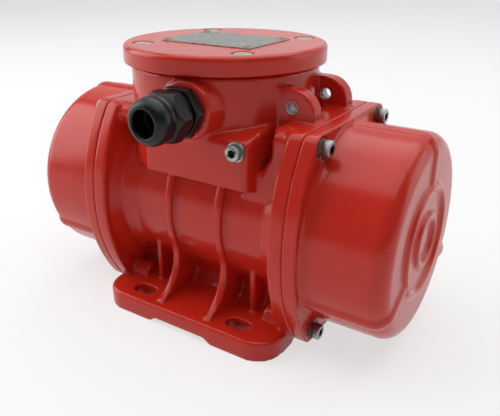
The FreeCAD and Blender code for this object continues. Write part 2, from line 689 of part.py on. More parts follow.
def weight_cover():
    cup = cylinder_x(CUP_R, HOUSING_FACE, CUP_END)
    rim = [e for e in cup.Edges if e.BoundBox.XMin > CUP_END - 1e-6]
    cup = cup.makeFillet(CUP_EDGE_R, rim)
    hollow = cylinder_x(CUP_INNER_R, HOUSING_FACE - JOIN, CUP_INNER_END)
    inner_rim = [e for e in hollow.Edges if e.BoundBox.XMin > CUP_INNER_END - 1e-6]
    hollow = hollow.makeFillet(CUP_EDGE_R - CUP_WALL, inner_rim)
    flange = flange_outline(HOUSING_FACE, COVER_FACE)
    solids = [cup, flange, cup_root(), end_bead(RING_R), end_bead(INNER_RING_R)]
    solids += [stiffening_bead(angle) for angle in BEAD_ANGLES]
    cover = union(solids)
    cutters = [hollow]
    for y, z in bolt_positions():
        cutters.append(cylinder_x(M5[0] + CLEARANCE_HOLE, HOUSING_FACE - JOIN, COVER_FACE + JOIN, y, z))
        cutters.append(cylinder_x(SCALLOP_R, BOLT_SEAT, BOLT_SEAT + SCALLOP_LENGTH, y, z))
    return cover.cut(union(cutters)).removeSplitter()


def bearing_shield():
    seat_r = BEARING_R + PRESS_GAP
    hub_r = seat_r + HUB_WALL
    spigot_start = SHIELD_SEAT - SPIGOT_LENGTH
    seal_seat_r = SEAL_R + PRESS_GAP
    shield = revolved([(HUB_START, seat_r), (HUB_START, hub_r), (spigot_start, hub_r + 2.0),
                       (spigot_start, STATOR_R), (SHIELD_SEAT, STATOR_R), (SHIELD_SEAT, SHIELD_R),
                       (SHIELD_FACE, SHIELD_R), (SHIELD_FACE, seal_seat_r), (BEARING_END, seal_seat_r),
                       (BEARING_END, seat_r)])
    head_seat = SHIELD_FACE - M5[2] - SEAT_GAP
    cutters = [tube_x(BEARING_R + 1.5, BEARING_R - JOIN, CIRCLIP_START - PRESS_GAP,
                      CIRCLIP_START + CIRCLIP_THICKNESS)]
    for y, z in shield_screw_points():
        cutters.append(cylinder_x(M5[0] + CLEARANCE_HOLE, SHIELD_SEAT - JOIN, SHIELD_FACE + JOIN, y, z))
        cutters.append(cylinder_x(M5[1] + CLEARANCE_HOLE, head_seat, SHIELD_FACE + JOIN, y, z))
    return shield.cut(union(cutters))


def outer_race():
    lip_r = OUTER_RACE_INNER_R - 1.2
    race = tube_x(BEARING_R, lip_r, BEARING_START, BEARING_END)
    middle = (BEARING_START + BEARING_END) / 2
    half = ROLLER_LENGTH / 2 + RUNNING_GAP
    return race.cut(cylinder_x(OUTER_RACE_INNER_R, middle - half, middle + half))


def inner_race():
    return tube_x(INNER_RACE_R, JOURNAL_R + PRESS_GAP, BEARING_START, BEARING_END)


def roller_positions():
    angles = [2 * math.pi * i / ROLLER_COUNT for i in range(ROLLER_COUNT)]
    return [(PITCH_R * math.cos(a), AXIS_Z + PITCH_R * math.sin(a)) for a in angles]


def bearing_rollers():
    middle = (BEARING_START + BEARING_END) / 2
    half = ROLLER_LENGTH / 2
    return [cylinder_x(ROLLER_R, middle - half, middle + half, y, z) for y, z in roller_positions()]


def bearing_cage():
    middle = (BEARING_START + BEARING_END) / 2
    half = ROLLER_LENGTH / 2 + RUNNING_GAP
    side = 1.6
    cage = tube_x(PITCH_R + CAGE_THICKNESS / 2, PITCH_R - CAGE_THICKNESS / 2,
                  middle - half - side, middle + half + side)
    pockets = [cylinder_x(ROLLER_R + RUNNING_GAP, middle - half, middle + half, y, z)
               for y, z in roller_positions()]
    return cage.cut(union(pockets))


def stator_core():
    core = tube_x(STATOR_R, STATOR_BORE_R, -STATOR_HALF_LENGTH, STATOR_HALF_LENGTH)
    half = SLOT_OPENING / 2
    slot = box(-STATOR_HALF_LENGTH - JOIN, STATOR_HALF_LENGTH + JOIN, -half, half,
               AXIS_Z + STATOR_BORE_R - JOIN, AXIS_Z + STATOR_BORE_R + SLOT_DEPTH)
    return core.cut(union([turned(slot, 360.0 * i / STATOR_SLOTS) for i in range(STATOR_SLOTS)]))


def stator_windings():
    inner = STATOR_BORE_R + 2 * WINDING_GAP
    outer = STATOR_BORE_R + SLOT_DEPTH - WINDING_GAP
    start = STATOR_HALF_LENGTH + WINDING_GAP
    bevel = 3.0
    head = revolved([(start, inner), (start, outer), (WINDING_END - bevel, outer),
                     (WINDING_END, outer - bevel), (WINDING_END, inner + bevel),
                     (WINDING_END - bevel, inner)])
    half = SLOT_OPENING / 2 - WINDING_GAP
    bar = box(-start - JOIN, start + JOIN, -half, half,
              AXIS_Z + inner + WINDING_GAP, AXIS_Z + outer - WINDING_GAP)
    bars = [turned(bar, 360.0 * i / STATOR_SLOTS) for i in range(STATOR_SLOTS)]
    return union(both_sides(head) + bars)


def rotor_bars(gap, overrun):
    outer = AXIS_Z + ROTOR_R - 1.0 + gap
    half = BAR_THICKNESS / 2 + gap
    reach = STATOR_HALF_LENGTH + overrun
    bar = box(-reach, reach, -half, half, outer - BAR_HEIGHT - 2 * gap, outer)
    return [turned(bar, 360.0 * i / ROTOR_BARS) for i in range(ROTOR_BARS)]


def rotor_core():
    core = tube_x(ROTOR_R, SHAFT_R + PRESS_GAP, -STATOR_HALF_LENGTH, STATOR_HALF_LENGTH)
    return core.cut(union(rotor_bars(PRESS_GAP, JOIN)))


def rotor_cage():
    start = STATOR_HALF_LENGTH
    end = start + END_RING_LENGTH
    outer = ROTOR_R - 0.6
    ring = revolved([(start, SHAFT_R + 1.0), (start, outer), (end - 1.5, outer), (end, outer - 1.5),
                     (end, SHAFT_R + 2.0)])
    return union(both_sides(ring) + rotor_bars(0.0, JOIN))


def rotor_shaft():
    """One half's profile, mirrored: rotor seat, journal, circlip groove and chamfered end with its centre."""
    groove_r = JOURNAL_R - 0.9
    chamfer = 0.8
    centre_depth = 3.0
    centre_r = 1.8
    profile = [(0, 0), (0, SHAFT_R), (BEARING_START, SHAFT_R), (BEARING_START, JOURNAL_R),
               (END_WASHER_END - PRESS_GAP, JOURNAL_R), (END_WASHER_END - PRESS_GAP, groove_r),
               (END_CIRCLIP_END + PRESS_GAP, groove_r), (END_CIRCLIP_END + PRESS_GAP, JOURNAL_R),
               (SHAFT_END - chamfer, JOURNAL_R), (SHAFT_END, JOURNAL_R - chamfer), (SHAFT_END, centre_r),
               (SHAFT_END - centre_depth, 0)]
    half = revolved(profile).cut(weight_key(PRESS_GAP))
    return union(both_sides(half))


def weight_key(gap):
    """Parallel key between shaft and fixed weight, grown by gap for the keyways."""
    half = KEY_WIDTH / 2 + gap
    bottom = AXIS_Z + JOURNAL_R - KEY_HEIGHT / 2
    return box(FIXED_START + 0.5 - gap, FIXED_END - 0.5 + gap, -half, half,
               bottom - gap, bottom + KEY_HEIGHT + gap)


def weight_sector(x0, x1):
    """Hub with a heavy sector that hangs straight down."""
    disc = cylinder_x(WEIGHT_R, x0, x1)
    angle = math.radians(WEIGHT_HALF_ANGLE)
    reach = 3 * WEIGHT_R
    side = (reach * math.sin(angle), -reach * math.cos(angle))
    wedge = prism_x([(0, 0), side, (reach, -reach), (-reach, -reach), (-side[0], side[1])], x0, x1)
    return disc.common(wedge).fuse(cylinder_x(WEIGHT_HUB_R, x0, x1))


def fixed_weight():
    weight = weight_sector(FIXED_START, FIXED_END)
    bore = cylinder_x(JOURNAL_R + PRESS_GAP, FIXED_START - JOIN, FIXED_END + JOIN)
    half = KEY_WIDTH / 2 + PRESS_GAP
    keyway = box(FIXED_START - JOIN, FIXED_END + JOIN, -half, half, AXIS_Z,
                 AXIS_Z + JOURNAL_R + KEY_HEIGHT / 2 + 2 * PRESS_GAP)
    return weight.cut(bore.fuse(keyway))


def clamp_height():
    return AXIS_Z + (JOURNAL_R + EAR_HEIGHT) / 2 + 0.5


def adjustable_weight():
    """Outer weight: the hub carries an ear that is slit down to the bore and pinched by the clamp screw."""
    x0 = SETTING_START
    x1 = SETTING_END
    ear = box(x0, x1, -EAR_HALF_WIDTH, EAR_HALF_WIDTH, AXIS_Z, AXIS_Z + EAR_HEIGHT)
    ear_edges = [e for e in ear.Edges
                 if e.BoundBox.XLength > WEIGHT_WIDTH / 2 and e.BoundBox.ZMin > AXIS_Z + 1.0]
    ear = ear.makeFillet(2.5, ear_edges)
    weight = weight_sector(x0, x1).fuse(ear)
    bore = cylinder_x(JOURNAL_R + PRESS_GAP, x0 - JOIN, x1 + JOIN)
    slit = box(x0 - JOIN, x1 + JOIN, -CLAMP_SLIT / 2, CLAMP_SLIT / 2, AXIS_Z, AXIS_Z + EAR_HEIGHT + JOIN)
    hole = cylinder_y(M6[0] + PRESS_GAP, -EAR_HALF_WIDTH - JOIN, EAR_HALF_WIDTH + JOIN,
                      (x0 + x1) / 2, clamp_height())
    return weight.cut(union([bore, slit, hole]))


def clamp_screw():
    position = V((SETTING_START + SETTING_END) / 2, -EAR_HALF_WIDTH, clamp_height())
    return placed(cap_screw(M6, CLAMP_SCREW_LENGTH), position, ALONG_Y * -1)


def setting_disc():
    disc = tube_x(DISC_R, JOURNAL_R + PRESS_GAP, FIXED_END, DISC_END)
    notch = box(FIXED_END - JOIN, DISC_END + JOIN, -0.75, 0.75, AXIS_Z + DISC_R - 2.5, AXIS_Z + DISC_R + JOIN)
    step = 180.0 / DISC_NOTCHES
    return disc.cut(union([turned(notch, step * i) for i in range(DISC_NOTCHES + 1)]))


def end_circlip():
    ring = tube_x(JOURNAL_R + 2.0, JOURNAL_R - 0.8, END_WASHER_END, END_CIRCLIP_END)
    gap = box(END_WASHER_END - JOIN, END_CIRCLIP_END + JOIN, -3.0, 3.0, AXIS_Z, AXIS_Z + 2 * JOURNAL_R)
    return ring.cut(gap)


def bearing_circlip():
    ring = tube_x(BEARING_R + 1.4, BEARING_R - 2.0, CIRCLIP_START, CIRCLIP_START + CIRCLIP_THICKNESS)
    gap = box(CIRCLIP_START - JOIN, BEARING_START + JOIN, -4.0, 4.0, AXIS_Z, AXIS_Z + 2 * BEARING_R)
    return ring.cut(gap)


def terminal_box_lid():
    lid = cylinder_z(LID_R, LID_BOTTOM_Z, LID_TOP_Z, NECK_X, 0)
    rim = [e for e in lid.Edges if e.BoundBox.ZMin > LID_TOP_Z - 1e-6]
    lid = lid.makeFillet(LID_EDGE_R, rim)
    cutters = [cylinder_z(LID_POCKET_R, LID_BOTTOM_Z - JOIN, LID_BOTTOM_Z + LID_POCKET_DEPTH, NECK_X, 0)]
    for x, y in lid_screw_points():
        cutters.append(cylinder_z(M6[0] + CLEARANCE_HOLE, LID_BOTTOM_Z - JOIN, LID_TOP_Z + JOIN, x, y))
        cutters.append(cylinder_z(M6[1] + 2 * CLEARANCE_HOLE, LID_HEAD_SEAT_Z, LID_TOP_Z + JOIN, x, y))
    for x, y in rivet_points():
        cutters.append(cylinder_z(RIVET_R + PRESS_GAP, LID_TOP_Z - RIVET_LENGTH, LID_TOP_Z + JOIN, x, y))
    return lid.cut(union(cutters))


def lid_gasket():
    """Follows the neck's rim and its four screw bosses."""
    ring = cylinder_z(NECK_R - GASKET_INSET, NECK_TOP_Z, LID_BOTTOM_Z, NECK_X, 0)
    inner = cylinder_z(NECK_INNER_R, NECK_TOP_Z - JOIN, LID_BOTTOM_Z + JOIN, NECK_X, 0)
    holes = []
    for x, y in lid_screw_points():
        inner = inner.cut(cylinder_z(LID_BOSS_R, NECK_TOP_Z - 2 * JOIN, LID_BOTTOM_Z + 2 * JOIN, x, y))
        holes.append(cylinder_z(M6[0] + CLEARANCE_HOLE, NECK_TOP_Z - JOIN, LID_BOTTOM_Z + JOIN, x, y))
    return ring.cut(inner).cut(union(holes))


def rivet_points():
    half_x = PLATE_LENGTH / 2 - RIVET_INSET
    half_y = PLATE_WIDTH / 2 - RIVET_INSET
    return [(NECK_X + sx * half_x, sy * half_y) for sx in (-1, 1) for sy in (-1, 1)]


def nameplate():
    half_x = PLATE_LENGTH / 2
    half_y = PLATE_WIDTH / 2
    plate = box(NECK_X - half_x, NECK_X + half_x, -half_y, half_y, LID_TOP_Z, LID_TOP_Z + PLATE_THICKNESS)
    uprights = [e for e in plate.Edges if e.BoundBox.ZLength > PLATE_THICKNESS / 2]
    plate = plate.makeFillet(PLATE_CORNER_R, uprights)
    top = LID_TOP_Z + PLATE_THICKNESS + JOIN
    holes = [cylinder_z(RIVET_R + PRESS_GAP, LID_TOP_Z - JOIN, top, x, y) for x, y in rivet_points()]
    return plate.cut(union(holes))


def nameplate_rivets():
    seat = LID_TOP_Z + PLATE_THICKNESS
    head_rise = 0.9
    ball_r = (RIVET_HEAD_R ** 2 + head_rise ** 2) / (2 * head_rise)
    rivets = []
    for x, y in rivet_points():
        ball = Part.makeSphere(ball_r, V(x, y, seat + head_rise - ball_r))
        head = ball.common(cylinder_z(RIVET_HEAD_R, seat, seat + 2 * head_rise, x, y))
        tip = seat - PLATE_THICKNESS - RIVET_LENGTH + SEAT_GAP
        rivets.append(head.fuse(cylinder_z(RIVET_R, tip, seat, x, y)))
    return rivets


def along_gland(profile):
    """Solid of revolution about the gland's axis from (distance out from the seat, radius) points."""
    points = [V(GLAND_X, GLAND_SEAT_Y - d, GLAND_Z + r) for d, r in profile]
    face = Part.Face(Part.makePolygon(points + points[:1]))
    return face.revolve(V(GLAND_X, 0, GLAND_Z), ALONG_Y, 360)


def gland_hexagon(start, end):
    return placed(hexagon_z(GLAND_FLATS, start, end), V(GLAND_X, GLAND_SEAT_Y, GLAND_Z), ALONG_Y * -1)


def gland_body():
    """Hexagon collar with the entry thread behind it and a plain neck and the nut's thread in front."""
    hex_start = GLAND_WASHER
    hex_end = hex_start + GLAND_HEX
    neck_end = hex_end + GLAND_COLLAR
    thread_end = neck_end + GLAND_NUT_HEX
    corner_r = GLAND_FLATS / math.sqrt(3)
    collar = along_gland([(hex_start, 0), (hex_start, corner_r), (hex_end - 0.8, corner_r),
                          (hex_end, corner_r - 1.4), (hex_end, 0)]).common(gland_hexagon(hex_start, hex_end))
    threads = along_gland([(-GLAND_INNER_THREAD, 0), (-GLAND_INNER_THREAD, GLAND_THREAD_R),
                           (hex_start, GLAND_THREAD_R), (hex_end, GLAND_COLLAR_R), (neck_end, GLAND_COLLAR_R),
                           (neck_end, GLAND_TOP_THREAD_R), (thread_end, GLAND_TOP_THREAD_R), (thread_end, 0)])
    bore = along_gland([(-GLAND_INNER_THREAD - JOIN, 0), (-GLAND_INNER_THREAD - JOIN, GLAND_BORE_R),
                        (thread_end + JOIN, GLAND_BORE_R), (thread_end + JOIN, 0)])
    return collar.fuse(threads).cut(bore)


def gland_dome_nut():
    """Hexagon nut that runs through a shallow waist into a dome with a well rounded mouth."""
    start = GLAND_WASHER + GLAND_HEX + GLAND_COLLAR + SEAT_GAP
    shoulder = start + GLAND_NUT_HEX
    end = shoulder + GLAND_DOME
    corner_r = GLAND_FLATS / math.sqrt(3)
    flat_r = GLAND_FLATS / 2
    dome_r = flat_r - 0.2
    lip_r = GLAND_MOUTH_R + 0.6
    outer = [(start, corner_r - 1.0), (start + 1.0, corner_r), (shoulder - 3.0, corner_r),
             (shoulder, flat_r + 0.3), (shoulder + 0.12 * GLAND_DOME, flat_r - 0.9),
             (shoulder + 0.25 * GLAND_DOME, flat_r - 1.0), (shoulder + 0.38 * GLAND_DOME, dome_r - 0.2)]
    for step in range(7):
        angle = math.radians(15 * step)
        back = GLAND_DOME_ROUND * (1 - math.sin(angle))
        outer.append((end - back, lip_r + (dome_r - lip_r) * math.cos(angle)))
    inner = [(end - 0.6, GLAND_MOUTH_R), (shoulder + 0.45 * GLAND_DOME, GLAND_MOUTH_R),
             (shoulder + SEAT_GAP, GLAND_TOP_THREAD_R + PRESS_GAP), (start, GLAND_TOP_THREAD_R + PRESS_GAP)]
    return along_gland(outer + inner).common(gland_hexagon(start, end))


def gland_seal_insert():
    """Rubber sleeve in the gland's bore, which the dome squeezes on to the cable."""
    start = GLAND_WASHER + GLAND_HEX
    end = start + GLAND_COLLAR + GLAND_NUT_HEX + 0.35 * GLAND_DOME
    outer = GLAND_BORE_R - PRESS_GAP
    return along_gland([(start, GLAND_INSERT_R), (start, outer), (end - 3.5, outer),
                        (end, GLAND_MOUTH_R - SEAT_GAP), (end, GLAND_INSERT_R)])


def gland_washer():
    inner = GLAND_THREAD_R + PRESS_GAP
    outer = GLAND_FLATS / 2
    return along_gland([(0, inner), (0, outer), (GLAND_WASHER, outer), (GLAND_WASHER, inner)])


def stud_points():
    columns = [BLOCK_X + i * STUD_PITCH_X for i in (-1, 0, 1)]
    return [(x, sy * STUD_PITCH_Y / 2) for x in columns for sy in (-1, 1)]


def terminal_block():
    """Moulded board with a barrier between each pair of studs."""
    x0 = BLOCK_X - BLOCK_LENGTH / 2
    x1 = BLOCK_X + BLOCK_LENGTH / 2
    top = BOX_FLOOR_Z + BLOCK_HEIGHT
    board = box(x0, x1, -BLOCK_WIDTH / 2, BLOCK_WIDTH / 2, BOX_FLOOR_Z, top)
    solids = [board]
    for i in (-0.5, 0.5):
        x = BLOCK_X + i * STUD_PITCH_X
        solids.append(box(x - 0.8, x + 0.8, -BLOCK_WIDTH / 2, BLOCK_WIDTH / 2, BOX_FLOOR_Z, top + 6.0))
    cutters = []
    for x, y in stud_points():
        cutters.append(cylinder_z(STUD_R + PRESS_GAP, top - STUD_BURIED, top + JOIN, x, y))
    for x, y in block_screw_points():
        cutters.append(cylinder_z(M4[0] + CLEARANCE_HOLE, BOX_FLOOR_Z - JOIN, top + JOIN, x, y))
    return union(solids).cut(union(cutters))


def terminal_studs():
    top = BOX_FLOOR_Z + BLOCK_HEIGHT
    return [cylinder_z(STUD_R, top - STUD_BURIED, top + STUD_STAND, x, y) for x, y in stud_points()]


def terminal_links():
    top = BOX_FLOOR_Z + BLOCK_HEIGHT
    links = []
    for i in (-1, 0, 1):
        x = BLOCK_X + i * STUD_PITCH_X
        end = STUD_PITCH_Y / 2 + 3.5
        link = box(x - 3.5, x + 3.5, -end, end, top, top + LINK_THICKNESS)
        hole_end = top + LINK_THICKNESS + JOIN
        holes = [cylinder_z(STUD_R + PRESS_GAP, top - JOIN, hole_end, x, sy * STUD_PITCH_Y / 2)
                 for sy in (-1, 1)]
        links.append(link.cut(union(holes)))
    return links


def terminal_nuts():
    seat = BOX_FLOOR_Z + BLOCK_HEIGHT + LINK_THICKNESS
    bore = cylinder_z(STUD_R + PRESS_GAP, -JOIN, NUT_HEIGHT + JOIN, 0, 0)
    nut = hexagon_z(NUT_FLATS, 0, NUT_HEIGHT).cut(bore)
    return [placed(nut, V(x, y, seat), ALONG_Z) for x, y in stud_points()]


def lead_grommet():
    bottom = AXIS_Z + BORE_R + SEAT_GAP
    sleeve = cylinder_z(GROMMET_R, bottom, BOX_FLOOR_Z + JOIN, LEAD_HOLE_X, 0)
    collar = cylinder_z(GROMMET_FLANGE_R, BOX_FLOOR_Z, BOX_FLOOR_Z + GROMMET_FLANGE, LEAD_HOLE_X, 0)
    bore = cylinder_z(GROMMET_BORE_R, bottom - JOIN, BOX_FLOOR_Z + GROMMET_FLANGE + JOIN, LEAD_HOLE_X, 0)
    return sleeve.fuse(collar).cut(bore)


def spring_washer():
    """Ring with the slanting cut of a spring lock washer, standing on z = 0."""
    inner = M5[0] + 0.15
    ring = cylinder_z(inner + SPRING_WASHER_WALL, 0, SPRING_WASHER, 0, 0)
    slit = box(0, 3 * inner, -0.4, 0.4, -JOIN, SPRING_WASHER + JOIN)
    slit.rotate(V(0, 0, SPRING_WASHER / 2), ALONG_X, 20)
    return ring.cut(cylinder_z(inner, -JOIN, SPRING_WASHER + JOIN, 0, 0)).cut(slit)


def main():
    os.makedirs("parts", exist_ok=True)
    save("motor_housing", [motor_housing()])

    save_pair("weight_cover", [weight_cover()])
    screw = cap_screw(M5, COVER_SCREW_LENGTH)
    washer = spring_washer()
    seat_x = BOLT_SEAT + SPRING_WASHER
    save_pair("cover_screws", [placed(screw, V(seat_x, y, z), ALONG_X) for y, z in bolt_positions()])
    save_pair("cover_washers", [placed(washer, V(BOLT_SEAT, y, z), ALONG_X) for y, z in bolt_positions()])
    seal_inner = CUP_INNER_R + GROOVE_RIM + PRESS_GAP
    seal_outer = seal_inner + SEAL_GROOVE_WIDTH - 2 * PRESS_GAP
    save_pair("cover_seal", [tube_x(seal_outer, seal_inner, HOUSING_FACE - SEAL_GROOVE_DEPTH, HOUSING_FACE)])

    save("terminal_box_lid", [terminal_box_lid()])
    save("lid_gasket", [lid_gasket()])
    lid_screw = cap_screw(M6, LID_SCREW_LENGTH)
    save("lid_screws", [placed(lid_screw, V(x, y, LID_HEAD_SEAT_Z), ALONG_Z) for x, y in lid_screw_points()])
    save("nameplate", [nameplate()])
    save("nameplate_rivets", nameplate_rivets())

    save("gland_body", [gland_body()])
    save("gland_dome_nut", [gland_dome_nut()])
    save("gland_seal_insert", [gland_seal_insert()])
    save("gland_washer", [gland_washer()])

    earth_seat = V(EARTH_SCREW_X, -SADDLE_HALF_WIDTH - EARTH_WASHER, EARTH_SCREW_Z)
    save("earth_screw", [placed(cap_screw(M5_LOW, EARTH_SCREW_LENGTH), earth_seat, ALONG_Y * -1)])
    earth_washer = cylinder_y(EARTH_WASHER_R, -SADDLE_HALF_WIDTH - EARTH_WASHER, -SADDLE_HALF_WIDTH,
                              EARTH_SCREW_X, EARTH_SCREW_Z)
    save("earth_washer", [earth_washer.cut(cylinder_y(M5[0] + CLEARANCE_HOLE, -NECK_R - 2 * EARTH_WASHER, 0,
                                                      EARTH_SCREW_X, EARTH_SCREW_Z))])

    save("terminal_block", [terminal_block()])
    save("terminal_studs", terminal_studs())
    save("terminal_links", terminal_links())
    save("terminal_nuts", terminal_nuts())
    block_screw = cap_screw(M4, BLOCK_SCREW_LENGTH)
    block_top = BOX_FLOOR_Z + BLOCK_HEIGHT
    block_screws = [placed(block_screw, V(x, y, block_top), ALONG_Z) for x, y in block_screw_points()]
    save("terminal_block_screws", block_screws)
    save("lead_grommet", [lead_grommet()])

    save("stator_core", [stator_core()])
    save("stator_windings", [stator_windings()])
    save_pair("bearing_shield", [bearing_shield()])
    shield_screw = cap_screw(M5, SHIELD_SCREW_LENGTH)
    head_x = SHIELD_FACE - M5[2] - SEAT_GAP
    shield_screws = [placed(shield_screw, V(head_x, y, z), ALONG_X) for y, z in shield_screw_points()]
    save("bearing_shield_screws", [copy for one in shield_screws for copy in both_sides(one)])
    save_pair("bearing_outer_race", [outer_race()])
    save_pair("bearing_circlip", [bearing_circlip()])
    seal_start = BEARING_END + (SHIELD_LIP - SEAL_WIDTH) / 2
    save_pair("shaft_seal", [tube_x(SEAL_R, SLEEVE_R + RUNNING_GAP, seal_start, seal_start + SEAL_WIDTH)])

    save("rotor_shaft", [rotor_shaft()])
    save("rotor_core", [rotor_core()])
    save("rotor_cage", [rotor_cage()])
    save_pair("bearing_inner_race", [inner_race()])
    save_pair("spacer_sleeve", [tube_x(SLEEVE_R, JOURNAL_R + PRESS_GAP, BEARING_END, FIXED_START)])
    save_pair("fixed_weight", [fixed_weight()])
    save("weight_keys", both_sides(weight_key(0.0)))
    save_pair("setting_disc", [setting_disc()])
    save("shaft_end_washers", both_sides(tube_x(JOURNAL_R + 5.0, JOURNAL_R + RUNNING_GAP, END_WASHER_START,
                                                END_WASHER_END)))
    save("shaft_end_circlips", both_sides(end_circlip()))

    save_pair("bearing_rollers", bearing_rollers())
    save_pair("bearing_cage", [bearing_cage()])

    save_pair("adjustable_weight", [adjustable_weight()])
    save_pair("clamp_screw", [clamp_screw()])


main()
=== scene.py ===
"""Finish and surroundings of a foot-mounted vibration motor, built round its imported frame.

Metres, in the frame's own axes: X runs along the shaft, -Y is the cable gland's side, +Z is up.
Names and tables that say so are in millimetres.
"""
import bmesh
import bpy
import json
import math
from collections import namedtuple
from mathutils import Matrix, Vector


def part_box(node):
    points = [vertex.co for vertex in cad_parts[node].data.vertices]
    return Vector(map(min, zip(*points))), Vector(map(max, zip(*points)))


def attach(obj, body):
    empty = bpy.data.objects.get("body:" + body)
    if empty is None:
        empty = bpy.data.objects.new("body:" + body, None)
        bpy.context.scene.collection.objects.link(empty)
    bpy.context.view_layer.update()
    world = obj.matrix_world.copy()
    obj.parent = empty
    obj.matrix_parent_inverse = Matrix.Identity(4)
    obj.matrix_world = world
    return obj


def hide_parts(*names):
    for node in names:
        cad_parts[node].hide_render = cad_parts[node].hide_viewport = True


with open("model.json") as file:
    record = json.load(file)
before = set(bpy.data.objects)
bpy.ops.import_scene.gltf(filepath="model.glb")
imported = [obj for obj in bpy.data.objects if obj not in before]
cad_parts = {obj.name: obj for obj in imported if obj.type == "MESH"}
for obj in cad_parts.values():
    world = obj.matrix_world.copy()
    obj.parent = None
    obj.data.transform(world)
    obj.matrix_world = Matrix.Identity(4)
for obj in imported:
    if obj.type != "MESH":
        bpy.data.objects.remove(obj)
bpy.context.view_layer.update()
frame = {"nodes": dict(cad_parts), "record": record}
nodes = frame["nodes"]
MM = 0.001

# Cast and moulded skins: grid in millimetres, passes of smoothing that round the edges, and triangles kept
CASTINGS = {"motor_housing": (0.75, 6, 190000), "left_weight_cover": (0.6, 7, 120000),
            "right_weight_cover": (0.6, 7, 120000), "terminal_box_lid": (0.6, 5, 90000)}
MOULDINGS = {"gland_dome_nut": (0.25, 4, 60000), "gland_body": (0.25, 2, 60000)}
WELD_MM = 0.001

# The saddle under the terminal box is blunter than the rest: its box in millimetres, and its own passes
SADDLE_BOX = ((-46.0, -58.0, 92.0), (54.0, -38.0, 124.0))
SADDLE_ROUNDS = 24

# Socket head cap screws, in millimetres
Screw = namedtuple("Screw", "head_r head_height flats thread_r")
M5 = Screw(4.25, 5.0, 4.0, 2.5)
M5_LOW = Screw(4.25, 3.5, 4.0, 2.5)
M6_SMALL_SOCKET = Screw(5.0, 6.0, 4.0, 3.0)

# A screw's head: knurls, plain foot and bevel at the top in millimetres, and the depth of the socket's well
# as a share of the head's height
FLUTES = 32
FLUTE_DEPTH = 0.16
HEAD_FOOT = 0.3
HEAD_EDGE = 0.5
SOCKET_SHARE = 0.55
SOCKET_CUTS = 3
SHANK_SIDES = 32

# Drilled holes of the two lifting lugs, in millimetres: centre, bared wall's radii and its ends
LUG_HOLE = (47.05, 129.3)
LUG_WALL = (3.1, 3.6)
LUG_SPANS = ((-23.3, -15.2), (15.2, 23.3))
LUG_SIDES = 48

# Nameplate, in millimetres: what each side of the CAD plate is trimmed by, corner radius, bevel of the edge,
# border and depth of the sunk panel
PLATE_TRIM = 1.5
PLATE_CORNER = 1.5
PLATE_BEVEL = 0.12
PLATE_BORDER = 1.2
PLATE_SUNK = 0.06

# Camera, found from the object's own sizes in the photograph
CAMERA_PLACE = Vector((0.1832, -0.2762, 0.2018))
CAMERA_TARGET = Vector((0.00755, 0.0, 0.05621))
CAMERA_ROLL = math.radians(0.21)
FOCAL_PIXELS = 580.7
PHOTO_WIDTH = 500
SENSOR_WIDTH = 36.0

# Studio: half width of its sheets, the backdrop's place, share of plain white seen, and the world's strength
SHEET_HALF = 8.0
BACKDROP_Y = 2.6
SEEN_SHARE = 0.65
WORLD_STRENGTH = 0.17

# Softboxes: place, target, width, height and power in watts
MOTOR_MIDDLE = (0.0, 0.0, 0.06)
SOFTBOXES = {"left_softbox": ((-1.20, -0.41, 0.65), MOTOR_MIDDLE, 1.1, 1.2, 11.5),
             "overhead_softbox": ((0.0, 0.28, 1.3), (0.0, 0.28, 0.0), 1.8, 1.9, 18.0),
             "right_softbox": ((1.2, 0.85, 0.4), MOTOR_MIDDLE, 0.8, 0.8, 2.0)}

# A colour Mix node's inputs A and B and its result, whose names its other data types share
MIX_A, MIX_B, MIX_RESULT = 6, 7, 2


def linear(hex_colour):
    """Linear colour of an sRGB hex value."""
    channels = [int(hex_colour[i:i + 2], 16) / 255 for i in (1, 3, 5)]
    return (*[c / 12.92 if c <= 0.04045 else ((c + 0.055) / 1.055) ** 2.4 for c in channels], 1.0)


def per(size_mm):
    """Texture scale at which one feature is size_mm wide."""
    return 1.0 / (size_mm * MM)


def add(tree, kind, inputs=None, **settings):
    """One shader node with its settings; each input takes a value or another node's output."""
    made = tree.nodes.new("ShaderNode" + kind)
    for name, value in settings.items():
        setattr(made, name, value)
    for name, value in (inputs or {}).items():
        if isinstance(value, bpy.types.NodeSocket):
            tree.links.new(value, made.inputs[name])
        else:
            made.inputs[name].default_value = value
    return made


def new_material(name):
    """Empty node material with its output."""
    material = bpy.data.materials.new(name)
    material.use_nodes = True
    tree = material.node_tree
    tree.nodes.clear()
    return material, tree, add(tree, "OutputMaterial")


